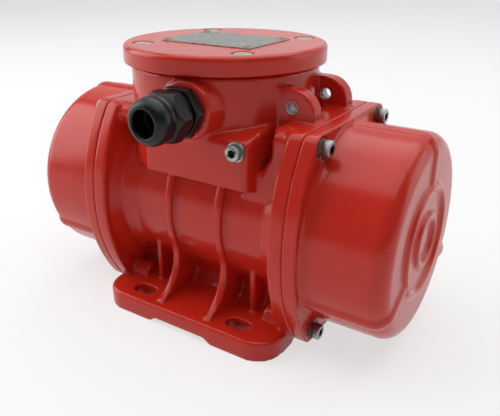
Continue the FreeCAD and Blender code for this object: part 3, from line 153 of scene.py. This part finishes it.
def surface(name, light, dark, patch_mm, grain_mm, relief_mm, roughness, swing, edge_mm=0.0, **shader):
    """Material whose tone and gloss drift in patches over a fine grain in relief.

    The gloss swings about its roughness, and edge_mm rounds the edges in the shading.
    """
    material, tree, output = new_material(name)
    place = add(tree, "TexCoord").outputs["Object"]
    patches = {"Vector": place, "Scale": per(patch_mm), "Detail": 4.0, "Roughness": 0.6}
    drift = add(tree, "TexNoise", patches).outputs["Fac"]
    tone = add(tree, "Mix", {"Factor": drift, MIX_A: linear(dark), MIX_B: linear(light)}, data_type="RGBA")
    gloss = add(tree, "MapRange", {"Value": drift, "From Min": 0.3, "From Max": 0.7,
                                   "To Min": roughness - swing / 2, "To Max": roughness + swing / 2})
    grain = {"Vector": place, "Scale": per(grain_mm), "Detail": 3.0, "Roughness": 0.5}
    height = add(tree, "TexNoise", grain).outputs["Fac"]
    relief = {"Height": height, "Strength": 1.0, "Distance": relief_mm * MM}
    if edge_mm:
        relief["Normal"] = add(tree, "Bevel", {"Radius": edge_mm * MM}, samples=6).outputs["Normal"]
    bump = add(tree, "Bump", relief)
    inputs = {"Base Color": tone.outputs[MIX_RESULT], "Roughness": gloss.outputs["Result"],
              "Normal": bump.outputs["Normal"], **shader}
    made = add(tree, "BsdfPrincipled", inputs)
    tree.links.new(made.outputs["BSDF"], output.inputs["Surface"])
    return material


def seen_white(name, colour, share):
    """Diffuse material that looks nearly white when seen or reflected, and still takes a shadow."""
    material, tree, output = new_material(name)
    shade = add(tree, "BsdfDiffuse", {"Color": linear(colour)})
    glow = add(tree, "Emission", {"Color": linear("#FFFFFF"), "Strength": 1.0})
    path = add(tree, "LightPath").outputs
    direct = add(tree, "Math", {0: path["Is Camera Ray"], 1: path["Is Glossy Ray"]}, operation="MAXIMUM")
    seen = add(tree, "Math", {0: direct.outputs[0], 1: path["Is Transmission Ray"]}, operation="MAXIMUM")
    lift = add(tree, "Math", {0: seen.outputs[0], 1: share}, operation="MULTIPLY")
    mixed = add(tree, "MixShader", {0: lift.outputs[0], 1: shade.outputs[0], 2: glow.outputs[0]})
    tree.links.new(mixed.outputs[0], output.inputs["Surface"])
    return material


def blank(bm, name):
    """Object from a bmesh, in metres."""
    mesh = bpy.data.meshes.new(name)
    bm.to_mesh(mesh)
    bm.free()
    made = bpy.data.objects.new(name, mesh)
    bpy.context.scene.collection.objects.link(made)
    return made


def reshape(piece, kind, **settings):
    """Runs one modifier on a piece and keeps its result."""
    modifier = piece.modifiers.new(kind, kind)
    for name, value in settings.items():
        setattr(modifier, name, value)
    shaped = bpy.data.meshes.new_from_object(piece.evaluated_get(bpy.context.evaluated_depsgraph_get()))
    piece.modifiers.clear()
    old = piece.data
    piece.data = shaped
    bpy.data.meshes.remove(old)


def finished(piece, node_names, body, material):
    """Slots, smooths and rides a new piece that stands for CAD nodes, and hides those nodes."""
    piece.data.materials.clear()
    piece.data.materials.append(material)
    piece.data.shade_smooth()
    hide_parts(*node_names)
    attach(piece, body)
    return piece


def smoothed_in(piece, low, high, rounds):
    """Smooths the part of a skin that lies in a box given in millimetres."""
    bm = bmesh.new()
    bm.from_mesh(piece.data)
    chosen = [v for v in bm.verts if all(low[i] < v.co[i] / MM < high[i] for i in range(3))]
    for _ in range(rounds):
        bmesh.ops.smooth_vert(bm, verts=chosen, factor=0.5, use_axis_x=True, use_axis_y=True,
                              use_axis_z=True)
    bm.to_mesh(piece.data)
    bm.free()


def soft_skin(node, grid_mm, rounds, triangles):
    """Copy of a CAD node with the rounded edges and filled corners of a casting or moulding."""
    bm = bmesh.new()
    bm.from_mesh(nodes[node].data)
    bmesh.ops.remove_doubles(bm, verts=bm.verts, dist=WELD_MM * MM)
    piece = blank(bm, node + "_skin")
    reshape(piece, "REMESH", mode="VOXEL", voxel_size=grid_mm * MM)
    reshape(piece, "SMOOTH", factor=0.5, iterations=rounds)
    if node == "motor_housing":
        smoothed_in(piece, *SADDLE_BOX, SADDLE_ROUNDS)
    found = 2 * len(piece.data.polygons)
    if found > triangles:
        reshape(piece, "DECIMATE", ratio=triangles / found)
    return piece


def raised(bm, face, height, shrink=1.0):
    """New face at height above the given one, which stays, with walls between them; shrunk about the axis."""
    grown = bmesh.ops.extrude_face_region(bm, geom=[face])["geom"]
    top = [item for item in grown if isinstance(item, bmesh.types.BMFace)][0]
    bmesh.ops.translate(bm, vec=(0, 0, height), verts=top.verts)
    bmesh.ops.scale(bm, vec=(shrink, shrink, 1), verts=top.verts)
    return top


def knurled_head(bm, screw):
    """Fluted head that stands at Z = 0 and is open at its top; gives the edges of its rim."""
    ring = bmesh.ops.create_circle(bm, cap_ends=True, radius=screw.head_r, segments=4 * FLUTES)["verts"]
    for i, vert in enumerate(ring):
        if i % 4 in (1, 2):
            vert.co *= 1 - FLUTE_DEPTH / screw.head_r
    foot = raised(bm, ring[0].link_faces[0], HEAD_FOOT)
    side = raised(bm, foot, screw.head_height - HEAD_FOOT - HEAD_EDGE)
    top = raised(bm, side, HEAD_EDGE, 1 - HEAD_EDGE / screw.head_r)
    bmesh.ops.delete(bm, geom=[top], context="FACES_ONLY")
    return [edge for edge in bm.edges if edge.is_boundary and edge.verts[0].co.z > screw.head_height / 2]


def hexagon_socket(bm, screw, rim):
    """Hexagonal well joined to the head's rim.

    The floor that shows is the disc that knurled_head leaves at HEAD_EDGE below the top.
    """
    mouth = bmesh.ops.create_circle(bm, radius=screw.flats / math.sqrt(3), segments=6)["verts"]
    bmesh.ops.translate(bm, vec=(0, 0, screw.head_height), verts=mouth)
    sides = [edge for edge in bm.edges if edge.is_wire]
    bmesh.ops.subdivide_edges(bm, edges=sides, cuts=SOCKET_CUTS)
    sides = [edge for edge in bm.edges if edge.is_wire]
    bmesh.ops.bridge_loops(bm, edges=rim + sides)
    well = bmesh.ops.extrude_edge_only(bm, edges=sides)["geom"]
    bottom = [item for item in well if isinstance(item, bmesh.types.BMVert)]
    bmesh.ops.translate(bm, vec=(0, 0, -SOCKET_SHARE * screw.head_height), verts=bottom)
    bmesh.ops.contextual_create(bm, geom=[item for item in well if isinstance(item, bmesh.types.BMEdge)])


def cap_screw(bm, screw, place, direction, length):
    """Adds a screw whose head stands at place and whose shank runs against direction."""
    part = bmesh.new()
    hexagon_socket(part, screw, knurled_head(part, screw))
    middle = Matrix.Translation((0, 0, -length / 2))
    bmesh.ops.create_cone(part, cap_ends=True, segments=SHANK_SIDES, radius1=screw.thread_r,
                          radius2=screw.thread_r, depth=length, matrix=middle)
    bmesh.ops.recalc_face_normals(part, faces=part.faces)
    turn = Vector(direction).to_track_quat("Z", "Y").to_matrix().to_4x4()
    seat = Matrix.Translation(place) @ turn @ Matrix.Scale(MM, 4)
    bmesh.ops.transform(part, matrix=seat, verts=part.verts)
    made = bpy.data.meshes.new("screw")
    part.to_mesh(made)
    part.free()
    bm.from_mesh(made)
    bpy.data.meshes.remove(made)


def screw_set(name, node, screw, sign, axis):
    """Screws of one CAD node, one at each corner of its box or one alone.

    Their heads stand at the axis's end that sign names.
    """
    low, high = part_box(node)
    end, start = (high[axis], low[axis]) if sign > 0 else (low[axis], high[axis])
    direction = Vector((0, 0, 0))
    direction[axis] = sign
    across = [i for i in range(3) if i != axis]
    reach = screw.head_r * MM
    spots = [sorted({round(low[i] + reach, 5), round(high[i] - reach, 5)}) for i in across]
    bm = bmesh.new()
    for first in spots[0]:
        for second in spots[1]:
            place = Vector((0, 0, 0))
            place[across[0]] = first
            place[across[1]] = second
            place[axis] = end - sign * screw.head_height * MM
            cap_screw(bm, screw, place, direction, abs(end - start) / MM - screw.head_height)
    finished(blank(bm, name), [node], "root", zinc)


def name_plate():
    """Bare plate with rounded corners and a faintly sunk panel inside its border."""
    low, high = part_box("nameplate")
    size = high - low
    trim = 2 * PLATE_TRIM * MM
    bm = bmesh.new()
    bmesh.ops.create_cube(bm, size=1.0)
    bmesh.ops.scale(bm, vec=(size.x - trim, size.y - trim, size.z), verts=bm.verts)
    bmesh.ops.translate(bm, vec=(low + high) / 2, verts=bm.verts)
    corners = [edge for edge in bm.edges if abs(edge.verts[0].co.z - edge.verts[1].co.z) > size.z / 2]
    bmesh.ops.bevel(bm, geom=corners, offset=PLATE_CORNER * MM, segments=5, profile=0.5,
                    affect="EDGES", material=-1)
    top = max(bm.faces, key=lambda face: face.calc_center_median().z)
    bmesh.ops.bevel(bm, geom=list(top.edges), offset=PLATE_BEVEL * MM, segments=2, profile=0.5,
                    affect="EDGES", material=-1)
    top = max(bm.faces, key=lambda face: (round(face.calc_center_median().z, 6), face.calc_area()))
    bmesh.ops.inset_individual(bm, faces=[top], thickness=PLATE_BORDER * MM, use_even_offset=True)
    sunk = PLATE_SUNK * MM
    bmesh.ops.inset_individual(bm, faces=[top], thickness=sunk, depth=-sunk, use_even_offset=True)
    bmesh.ops.recalc_face_normals(bm, faces=bm.faces)
    sheet = finished(blank(bm, "plain_nameplate"), ["nameplate"], "root", plate)
    sheet.data.shade_flat()


def lug_walls():
    """Bared walls of the lifting holes: a thin sleeve in each lug."""
    bm = bmesh.new()
    inner, outer = LUG_WALL
    for start, end in LUG_SPANS:
        ring = bmesh.ops.create_circle(bm, radius=outer * MM, segments=LUG_SIDES)["verts"]
        edges = list({edge for vert in ring for edge in vert.link_edges})
        made = bmesh.ops.extrude_edge_only(bm, edges=edges)["geom"]
        mouth = [item for item in made if isinstance(item, bmesh.types.BMVert)]
        bmesh.ops.scale(bm, vec=(inner / outer, inner / outer, 1), verts=mouth)
        flat = list({face for vert in mouth for face in vert.link_faces})
        grown = bmesh.ops.extrude_face_region(bm, geom=flat, use_keep_orig=True)["geom"]
        top = [item for item in grown if isinstance(item, bmesh.types.BMVert)]
        bmesh.ops.translate(bm, vec=(0, 0, (end - start) * MM), verts=top)
        along_y = Matrix.Rotation(math.pi / 2, 4, "X")
        place = Matrix.Translation((LUG_HOLE[0] * MM, end * MM, LUG_HOLE[1] * MM)) @ along_y
        bmesh.ops.transform(bm, matrix=place, verts=ring + mouth + top)
    bmesh.ops.recalc_face_normals(bm, faces=bm.faces)
    walls = blank(bm, "lug_hole_walls")
    walls.data.materials.append(drilled)
    walls.data.shade_smooth()
    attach(walls, "root")


def add_camera():
    """Camera at the photograph's place and angle of view."""
    data = bpy.data.cameras.new("camera")
    data.sensor_fit = "HORIZONTAL"
    data.sensor_width = SENSOR_WIDTH
    data.lens = FOCAL_PIXELS * SENSOR_WIDTH / PHOTO_WIDTH
    camera = bpy.data.objects.new("camera", data)
    camera.rotation_mode = "QUATERNION"
    camera.location = CAMERA_PLACE
    aim = (CAMERA_TARGET - CAMERA_PLACE).to_track_quat("-Z", "Y")
    camera.rotation_quaternion = aim @ Matrix.Rotation(CAMERA_ROLL, 3, "Z").to_quaternion()
    bpy.context.scene.collection.objects.link(camera)
    bpy.context.scene.camera = camera


def stage_sheet(name, place, turn, material):
    """Flat square sheet of the studio."""
    bm = bmesh.new()
    seat = Matrix.Translation(place) @ turn
    bmesh.ops.create_grid(bm, x_segments=1, y_segments=1, size=SHEET_HALF, matrix=seat)
    sheet = blank(bm, name)
    sheet.data.materials.append(material)


def add_world():
    """Faint even light from all round."""
    world = bpy.data.worlds.new("studio")
    bpy.context.scene.world = world
    world.use_nodes = True
    tree = world.node_tree
    tree.nodes.clear()
    sky = add(tree, "Background", {"Color": linear("#FFFFFF"), "Strength": WORLD_STRENGTH})
    tree.links.new(sky.outputs[0], add(tree, "OutputWorld").inputs["Surface"])


def softbox(name, place, target, width, height, power):
    """Rectangular lamp that faces target."""
    data = bpy.data.lights.new(name, "AREA")
    data.shape = "RECTANGLE"
    data.size = width
    data.size_y = height
    data.energy = power
    lamp = bpy.data.objects.new(name, data)
    lamp.location = place
    lamp.rotation_mode = "QUATERNION"
    lamp.rotation_quaternion = (Vector(target) - Vector(place)).to_track_quat("-Z", "Y")
    bpy.context.scene.collection.objects.link(lamp)


add_camera()

# Stoved gloss enamel on an iron casting: deep red with wet highlights and a faint orange peel
enamel = surface("stoved_gloss_enamel", "#CC2E1F", "#C02617", patch_mm=30, grain_mm=2.2, relief_mm=0.012,
                 roughness=0.20, swing=0.06, edge_mm=0.5, IOR=1.42)
# Zinc-plated and blue-passivated steel: cool silver with a slight crystalline mottle
zinc = surface("blue_passivated_zinc", "#BCC6C2", "#929D99", patch_mm=2.0, grain_mm=0.4, relief_mm=0.01,
               roughness=0.40, swing=0.12, Metallic=1.0)
# Injection-moulded black polyamide: almost black, satin, with a fine spark-eroded grain
nylon = surface("moulded_black_polyamide", "#0A1112", "#06090A", patch_mm=6, grain_mm=0.5, relief_mm=0.02,
                roughness=0.34, swing=0.06, edge_mm=0.3, IOR=1.4)
# Etched and clear-lacquered aluminium sheet: grey and mottled, the etch drawn coarse enough to show
plate = surface("etched_sheet_aluminium", "#C4C6C1", "#1E201F", patch_mm=1.8, grain_mm=0.4, relief_mm=0.02,
                roughness=0.50, swing=0.2, Metallic=0.8)
# Drawn brass pin with a pressed head: brown and warm, dulled
brass = surface("pressed_brass", "#9C7B55", "#6B4F34", patch_mm=1.5, grain_mm=0.3, relief_mm=0.006,
                roughness=0.40, swing=0.12, Metallic=1.0)
# Moulded nitrile rubber: matt black with a bloom
rubber = surface("moulded_nitrile", "#1C1C1C", "#131313", patch_mm=4, grain_mm=0.4, relief_mm=0.02,
                 roughness=0.62, swing=0.1)
# Stacked electrical sheet steel: grey-blue and half matt, the sheets' edges too fine to show
lamination = surface("stacked_sheet_steel", "#6B6E74", "#54575C", patch_mm=4, grain_mm=0.5, relief_mm=0.03,
                     roughness=0.48, swing=0.1, Metallic=1.0)
# Enamelled copper wire under baked varnish: brown-orange, glossy
winding = surface("varnished_copper_wire", "#9A4E22", "#6F3415", patch_mm=3, grain_mm=0.9, relief_mm=0.2,
                  roughness=0.30, swing=0.1)
# Grey iron casting, unpainted: dark and dull, with the sand's grain
cast_iron = surface("sand_cast_grey_iron", "#5E5E5F", "#464647", patch_mm=6, grain_mm=0.8, relief_mm=0.06,
                    roughness=0.55, swing=0.1, Metallic=0.9)
# Ground and honed bearing steel: bright, with sharp reflections
bearing = surface("ground_bearing_steel", "#D5D6D8", "#C3C4C7", patch_mm=3, grain_mm=0.3, relief_mm=0.002,
                  roughness=0.16, swing=0.05, Metallic=1.0)
# Phosphated spring steel: dark grey, half matt
spring = surface("phosphated_spring_steel", "#3A3A3D", "#2A2A2D", patch_mm=2, grain_mm=0.3, relief_mm=0.01,
                 roughness=0.45, swing=0.1, Metallic=1.0)
# Turned bright bar steel: light grey with soft reflections
bright = surface("turned_bright_steel", "#A9A9AB", "#8E8E91", patch_mm=4, grain_mm=0.3, relief_mm=0.006,
                 roughness=0.28, swing=0.08, Metallic=1.0)
# Grey iron bared by the drill after painting: pale and satin
drilled = surface("drilled_grey_iron", "#C9CBC8", "#A4A6A3", patch_mm=2, grain_mm=0.4, relief_mm=0.02,
                  roughness=0.45, swing=0.1, Metallic=0.6)
# Pressure-cast rotor aluminium: pale grey, slightly rough
aluminium = surface("pressure_cast_aluminium", "#C4C5C8", "#A7A8AB", patch_mm=4, grain_mm=0.6, relief_mm=0.03,
                    roughness=0.38, swing=0.1, Metallic=1.0)
# Flame-cut and machined weight steel: mid grey, satin
weight = surface("machined_mild_steel", "#7C7C7E", "#5F5F61", patch_mm=8, grain_mm=0.6, relief_mm=0.02,
                 roughness=0.42, swing=0.12, Metallic=1.0)
# Compression-moulded phenolic: brown, half matt
phenolic = surface("moulded_phenolic", "#5A3A22", "#472C19", patch_mm=5, grain_mm=0.5, relief_mm=0.02,
                   roughness=0.45, swing=0.08)

SLOT_MATERIALS = {"enamel": enamel, "zinc_screw": zinc, "zinc_washer": zinc, "seal_rubber": rubber,
                  "plate": plate, "brass": brass, "nylon": nylon, "terminal_moulding": phenolic,
                  "lamination": lamination, "winding": winding, "cast_shield": cast_iron,
                  "bearing_steel": bearing, "bearing_brass": brass, "spring_steel": spring,
                  "shaft_steel": bright, "rotor_aluminium": aluminium, "weight_steel": weight}
slot_of = {part["node"]: part["material_slot"] for part in frame["record"]["subparts"]}
for name, node in nodes.items():
    node.data.materials.clear()
    node.data.materials.append(SLOT_MATERIALS[slot_of[name]])

# Pieces that stand for CAD nodes, or line them
for name, (grid, rounds, triangles) in CASTINGS.items():
    finished(soft_skin(name, grid, rounds, triangles), [name], "root", enamel)
for name, (grid, rounds, triangles) in MOULDINGS.items():
    finished(soft_skin(name, grid, rounds, triangles), [name], "root", nylon)
name_plate()
lug_walls()
screw_set("left_cap_screws", "left_cover_screws", M5, -1, 0)
screw_set("right_cap_screws", "right_cover_screws", M5, 1, 0)
screw_set("lid_cap_screws", "lid_screws", M6_SMALL_SOCKET, 1, 2)
screw_set("earthing_cap_screw", "earth_screw", M5_LOW, -1, 1)

# Studio
paper = seen_white("matt_white_paper", "#F4F4F4", SEEN_SHARE)
stage_sheet("floor", (0, 0, 0), Matrix.Identity(4), paper)
stage_sheet("backdrop", (0, BACKDROP_Y, 0), Matrix.Rotation(math.radians(90), 4, "X"), paper)
add_world()
for name, settings in SOFTBOXES.items():
    softbox(name, *settings)
bpy.context.scene.view_settings.view_transform = "Standard"
